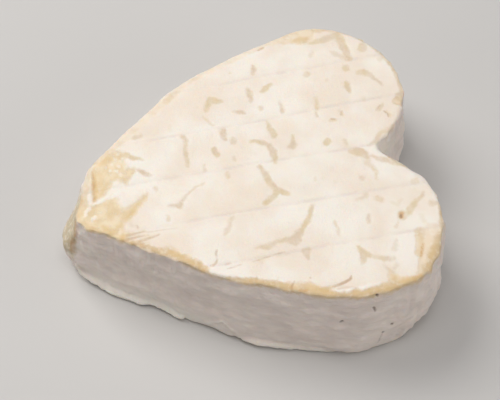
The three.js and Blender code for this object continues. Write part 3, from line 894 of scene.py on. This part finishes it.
def mixColours(tree, share, under, over):
    node = addNode(tree, "ShaderNodeMix", data_type="RGBA", blend_type="MIX")
    feed(tree, node.inputs[0], share)
    feed(tree, node.inputs[6], under)
    feed(tree, node.inputs[7], over)
    return node.outputs[2]


def noiseNode(tree, vector, scale, detail, roughness):
    node = addNode(tree, "ShaderNodeTexNoise")
    feed(tree, node.inputs["Vector"], vector)
    feed(tree, node.inputs["Scale"], scale)
    feed(tree, node.inputs["Detail"], detail)
    feed(tree, node.inputs["Roughness"], roughness)
    return node.outputs["Fac"]


def attributeNode(tree, name):
    return addNode(tree, "ShaderNodeAttribute", attribute_name=name).outputs["Fac"]


def millimetres(tree, stretch=(1000, 1000, 1000)):
    # object coordinates in millimetres, so that a noise scale of 1 has features about 1 mm across
    coordinates = addNode(tree, "ShaderNodeTexCoord").outputs["Object"]
    mapping = addNode(tree, "ShaderNodeMapping")
    mapping.inputs["Scale"].default_value = stretch
    feed(tree, mapping.inputs["Vector"], coordinates)
    return mapping.outputs["Vector"]


def makeRaggedEdge():
    # turns a distance to an edge into a mask whose edge is as uneven as torn mould
    group = bpy.data.node_groups.new("raggedEdge", "ShaderNodeTree")
    for name, value in (("Distance", 0.0), ("Unevenness", 0.5), ("Grain", 1.0), ("Softness", 0.3)):
        socket = group.interface.new_socket(name, in_out="INPUT", socket_type="NodeSocketFloat")
        socket.default_value = value
    group.interface.new_socket("Mask", in_out="OUTPUT", socket_type="NodeSocketFloat")
    inputs = addNode(group, "NodeGroupInput").outputs
    grain = noiseNode(group, millimetres(group), inputs["Grain"], 4.0, 0.6)
    shake = mathNode(group, "MULTIPLY", mathNode(group, "SUBTRACT", grain, 0.5), inputs["Unevenness"])
    moved = mathNode(group, "ADD", inputs["Distance"], mathNode(group, "MULTIPLY", shake, 2.0))
    low = mathNode(group, "MULTIPLY", inputs["Softness"], -1.0)
    outputs = addNode(group, "NodeGroupOutput")
    feed(group, outputs.inputs["Mask"], stepNode(group, moved, low, inputs["Softness"]))
    return group


raggedEdge = makeRaggedEdge()

# Edges of the coloured marks: unevenness in millimetres, grain per millimetre, and softness in millimetres
markEdges = {
    "foot": (0.5, 0.8, 0.5),
    "mark": (0.45, 0.7, 0.55),
    "lip": (1.1, 0.8, 0.5),
    "band": (0.8, 0.8, 0.6),
    "paste": (1.1, 0.6, 1.1),
    "golden": (0.5, 0.8, 0.8),
    "flake": (0.6, 1.2, 0.4),
    "amber": (0.5, 0.8, 0.4),
    "stain": (1.3, 0.6, 1.1),
    "crackAndCreaseShade": (0.2, 1.5, 0.3),
    "pit": (0.3, 1.5, 0.25),
}


def markMask(tree, name, strength):
    # where the named marks are, as the attribute of that name says
    node = addNode(tree, "ShaderNodeGroup", node_tree=raggedEdge)
    feed(tree, node.inputs["Distance"], attributeNode(tree, name))
    for socket, value in zip(("Unevenness", "Grain", "Softness"), markEdges[name]):
        node.inputs[socket].default_value = value
    return mathNode(tree, "MULTIPLY", node.outputs["Mask"], strength)


# Noises of the finish: features per millimetre, the noise values between which a patch begins and is
# in full, and the shares that it then goes between. A stretch makes features long along its lowest value
rindPatches = {
    "mould": {"scale": 0.07, "range": (0.35, 0.65)},
    "marks": {"scale": 0.12, "range": (0.4, 0.6)},
    "paste": {"scale": 0.3, "range": (0.35, 0.65)},
    "streaks": {"stretch": (350, 350, 750), "scale": 0.7, "roughness": 0.55},
    "clouds": {"stretch": (700, 700, 1000), "scale": 0.16, "detail": 3.0},
    "endFibres": {"stretch": (1100, 1100, 260), "scale": 0.8, "detail": 5.0, "range": (0.42, 0.68)},
    "endEdge": {"scale": 0.35},
    "band": {"scale": 0.3},
    "grooves": {"scale": 0.15, "range": (0.4, 0.65), "shares": (0.1, 0.7)},
    "thinning": {"scale": 0.5, "range": (0.35, 0.62), "shares": (0.7, 1.0)},
    "bandFlecks": {
        "scale": 0.55, "detail": 5.0, "roughness": 0.65, "range": (0.5, 0.68), "shares": (1.0, 0.55),
    },
    "pasteFlecks": {
        "scale": 0.8, "detail": 5.0, "roughness": 0.65, "range": (0.54, 0.66), "shares": (1.0, 0.6),
    },
    "fineFluff": {"scale": 1.6, "detail": 6.0, "roughness": 0.65},
    "coarseFluff": {"scale": 0.45, "detail": 3.0},
}


def grainNode(tree, place, name):
    settings = {"detail": 4.0, "roughness": 0.5, **rindPatches[name]}
    if "stretch" in settings:
        place = millimetres(tree, settings["stretch"])
    return noiseNode(tree, place, settings["scale"], settings["detail"], settings["roughness"])


def patchNode(tree, place, name):
    settings = rindPatches[name]
    shares = settings.get("shares", (0.0, 1.0))
    return stepNode(tree, grainNode(tree, place, name), *settings["range"], *shares)


# The finish of the rind
rindFinish = {
    "mould": linearColour(242, 234, 222),
    "mouldWarm": linearColour(237, 223, 206),
    "side": linearColour(240, 227, 216),
    # the darker side colour, for the mould's mottling and for the painted shade below the rim
    "sideMottleAndShade": linearColour(225, 211, 201),
    # the end of the point is yellowed rind, and these colours are kept darker as painted shade
    "end": linearColour(195, 178, 146),
    "endPale": linearColour(219, 207, 184),
    "mark": linearColour(222, 203, 169),
    "markPink": linearColour(220, 201, 177),
    # painted shade in the rack grooves
    "groove": linearColour(226, 213, 202),
    "lip": linearColour(243, 238, 231),
    "band": linearColour(212, 187, 148),
    "bandPale": linearColour(235, 217, 191),
    "paste": linearColour(223, 200, 160),
    "pastePale": linearColour(234, 216, 184),
    "golden": linearColour(220, 189, 135),
    "flake": linearColour(242, 234, 222),
    "amber": linearColour(204, 152, 86),
    # colour of the cracks, also used for the painted shade in the lip's creases
    "crackAndCreaseShade": linearColour(194, 162, 126),
    "pit": linearColour(120, 98, 82),
    "stain": linearColour(190, 144, 96),
    "streaksInShade": 0.5,  # what the side's darker tone is made of: the streaks and clouds are the mould's own mottling, and the height is painted shade below the rim
    "cloudsInShade": 0.8,
    "heightInShade": 0.15,
    "shadeRange": (0.5, 0.95),
    "endUnevenness": 1.2,
    "endRange": (0.2, 0.9),
    # painted highlight on the foot lips
    "footLipHighlight": 0.7,
    "lipCover": 0.7,
    "stainCover": 0.7,
    "bandNearRim": 0.35,  # how much yellower the band is close to the rim
    "bandRange": (0.45, 0.9),
    "roughness": (0.86, 0.55),  # of the mould and of the worn rind
    "coarseFluff": 0.8,
    "fluffWhereWorn": 0.35,
    "sideFluff": 2.4,
    "fluffDepth": 0.0002,
    "softLight": 0.35,
    "softRadius": (0.0016, 0.0010, 0.0006),
    "gloss": 0.35,
    "sheen": 0.12,
    "sheenRoughness": 0.6,
}


def blend(tree, place, name, first, second):
    return mixColours(tree, patchNode(tree, place, name), rindFinish[first], rindFinish[second])


def mouldColour(tree, place, streaks):
    # the top, the streaky side darkened below the rim as painted shade, the yellow end of the point kept
    # darker as painted shade, the painted light on the wall at the foot and in the notch, the painted
    # highlight on the foot lips, and the painted shade in the grooves
    colour = blend(tree, place, "mould", "mould", "mouldWarm")
    fine = mathNode(tree, "MULTIPLY", streaks, rindFinish["streaksInShade"])
    broad = mathNode(tree, "MULTIPLY", grainNode(tree, place, "clouds"), rindFinish["cloudsInShade"])
    # the side turns darker towards its top as painted shade below the overhanging rim
    higher = mathNode(tree, "MULTIPLY", attributeNode(tree, "height"), rindFinish["heightInShade"])
    shade = mathNode(tree, "ADD", mathNode(tree, "ADD", fine, broad), higher)
    shade = stepNode(tree, shade, *rindFinish["shadeRange"])
    side = mixColours(tree, shade, rindFinish["side"], rindFinish["sideMottleAndShade"])
    # painted light on the wall at the flank's foot and in the notch
    side = mixColours(tree, attributeNode(tree, "paintedLight"), side, rindFinish["mould"])
    colour = mixColours(tree, attributeNode(tree, "side"), colour, side)

    # the end of the point: yellowed rind, painted darker as shade
    uneven = mathNode(tree, "SUBTRACT", grainNode(tree, place, "endEdge"), 0.5)
    uneven = mathNode(tree, "MULTIPLY", uneven, rindFinish["endUnevenness"])
    uneven = mathNode(tree, "ADD", attributeNode(tree, "end"), uneven)
    endMask = stepNode(tree, uneven, *rindFinish["endRange"])
    colour = mixColours(tree, endMask, colour, blend(tree, place, "endFibres", "end", "endPale"))
    # painted highlight along the foot lips, whose upper faces catch the light
    footHighlightMask = markMask(tree, "foot", rindFinish["footLipHighlight"])
    colour = mixColours(tree, footHighlightMask, colour, rindFinish["mould"])
    # painted shade in the rack grooves
    grooves = mathNode(tree, "MULTIPLY", patchNode(tree, place, "grooves"), attributeNode(tree, "groove"))
    return mixColours(tree, grooves, colour, rindFinish["groove"])


def thinMarksColour(tree, place, colour):
    # the marks where the mould is thin, and the torn white lip
    thinning = patchNode(tree, place, "thinning")
    cover = mathNode(tree, "MULTIPLY", thinning, attributeNode(tree, "markStrength"))
    marks = blend(tree, place, "marks", "mark", "markPink")
    colour = mixColours(tree, markMask(tree, "mark", cover), colour, marks)
    return mixColours(tree, markMask(tree, "lip", rindFinish["lipCover"]), colour, rindFinish["lip"])


def wornColour(tree, place, colour):
    # the band along the rim and the bare paste, and how worn the rind is
    bandMask = markMask(tree, "band", attributeNode(tree, "bandCover"))
    yellower = mathNode(tree, "MULTIPLY", attributeNode(tree, "nearRim"), rindFinish["bandNearRim"])
    yellower = mathNode(tree, "ADD", grainNode(tree, place, "band"), yellower)
    yellower = stepNode(tree, yellower, *rindFinish["bandRange"])
    band = mixColours(tree, yellower, rindFinish["bandPale"], rindFinish["band"])
    flecked = mathNode(tree, "MULTIPLY", bandMask, patchNode(tree, place, "bandFlecks"))
    colour = mixColours(tree, flecked, colour, band)
    pasteMask = markMask(tree, "paste", patchNode(tree, place, "pasteFlecks"))
    colour = mixColours(tree, pasteMask, colour, blend(tree, place, "paste", "paste", "pastePale"))
    worn = mathNode(tree, "MAXIMUM", bandMask, pasteMask)
    golden = markMask(tree, "golden", attributeNode(tree, "goldenStrength"))
    golden = mathNode(tree, "MULTIPLY", golden, worn)
    return mixColours(tree, golden, colour, rindFinish["golden"]), worn


def smallMarksColour(tree, colour):
    # flakes of mould, the amber, stained, cracked and pitted places, and the painted shade in the lip's
    # creases
    for name in ("flake", "amber", "stain", "crackAndCreaseShade", "pit"):
        strength = rindFinish["stainCover"] if name == "stain" else attributeNode(tree, name + "Strength")
        colour = mixColours(tree, markMask(tree, name, strength), colour, rindFinish[name])
    return colour


def fluffHeight(tree, place, streaks, worn):
    # the fluff of the mould, flatter where the rind is worn, and the fibres of the side
    coarse = mathNode(tree, "MULTIPLY", grainNode(tree, place, "coarseFluff"), rindFinish["coarseFluff"])
    fluff = mathNode(tree, "ADD", grainNode(tree, place, "fineFluff"), coarse)
    kept = stepNode(tree, worn, 0.0, 1.0, 1.0, rindFinish["fluffWhereWorn"])
    fibres = mathNode(tree, "MULTIPLY", attributeNode(tree, "side"), rindFinish["sideFluff"])
    fibres = mathNode(tree, "MULTIPLY", streaks, fibres)
    return mathNode(tree, "ADD", mathNode(tree, "MULTIPLY", fluff, kept), fibres)


def makeRind():
    material = bpy.data.materials.new("bloomyRind")
    material.use_nodes = True
    tree = material.node_tree
    shader = tree.nodes["Principled BSDF"]
    place = millimetres(tree)
    streaks = grainNode(tree, place, "streaks")

    colour = mouldColour(tree, place, streaks)
    colour = thinMarksColour(tree, place, colour)
    colour, worn = wornColour(tree, place, colour)
    feed(tree, shader.inputs["Base Color"], smallMarksColour(tree, colour))
    feed(tree, shader.inputs["Roughness"], stepNode(tree, worn, 0.0, 1.0, *rindFinish["roughness"]))

    bump = addNode(tree, "ShaderNodeBump")
    bump.inputs["Strength"].default_value = 1.0
    bump.inputs["Distance"].default_value = rindFinish["fluffDepth"]
    feed(tree, bump.inputs["Height"], fluffHeight(tree, place, streaks, worn))
    feed(tree, shader.inputs["Normal"], bump.outputs["Normal"])

    shader.inputs["Subsurface Weight"].default_value = rindFinish["softLight"]
    shader.inputs["Subsurface Radius"].default_value = rindFinish["softRadius"]
    shader.inputs["Subsurface Scale"].default_value = 1.0
    shader.inputs["Specular IOR Level"].default_value = rindFinish["gloss"]
    shader.inputs["Sheen Weight"].default_value = rindFinish["sheen"]
    shader.inputs["Sheen Roughness"].default_value = rindFinish["sheenRoughness"]
    return material


body.data.materials.clear()
body.data.materials.append(makeRind())
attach(body, "root")
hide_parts("cheese")
print("rind finished")


# The floor and the lights

studio = {
    "floorSize": 3.0,
    "floorColour": linearColour(200, 197, 193),
    "floorRoughness": 0.9,
    "sky": (0.95, 0.95, 1.0, 1.0),
    "skyStrength": 0.19,
    "lights": [  # name, place, size and power
        ("key", (-0.46, -0.42, 0.85), 0.6, 7.4),
        ("top", (0.22, 0, 1.1), 0.6, 3.9),
        ("right", (0.55, 0.85, 0.4), 0.6, 2.2),
        ("left", (0.3, -0.95, 0.35), 0.5, 1.0),
    ],
}


def makeFloor():
    bm = bmesh.new()
    bmesh.ops.create_grid(bm, x_segments=1, y_segments=1, size=studio["floorSize"] / 2)
    mesh = bpy.data.meshes.new("floor")
    bm.to_mesh(mesh)
    bm.free()
    floor = bpy.data.objects.new("floor", mesh)
    scene.collection.objects.link(floor)
    matt = bpy.data.materials.new("floorMatt")
    matt.use_nodes = True
    shader = matt.node_tree.nodes["Principled BSDF"]
    shader.inputs["Base Color"].default_value = studio["floorColour"]
    shader.inputs["Roughness"].default_value = studio["floorRoughness"]
    mesh.materials.append(matt)


def makeLights():
    world = bpy.data.worlds.new("studio")
    world.use_nodes = True
    sky = world.node_tree.nodes["Background"]
    sky.inputs["Color"].default_value = studio["sky"]
    sky.inputs["Strength"].default_value = studio["skyStrength"]
    scene.world = world
    for name, place, size, power in studio["lights"]:
        data = bpy.data.lights.new(name, "AREA")
        data.size = size
        data.energy = power
        light = bpy.data.objects.new(name, data)
        light.location = place
        light.rotation_euler = Vector(place).to_track_quat("Z", "Y").to_euler()
        scene.collection.objects.link(light)


makeFloor()
makeLights()
print("studio ready")
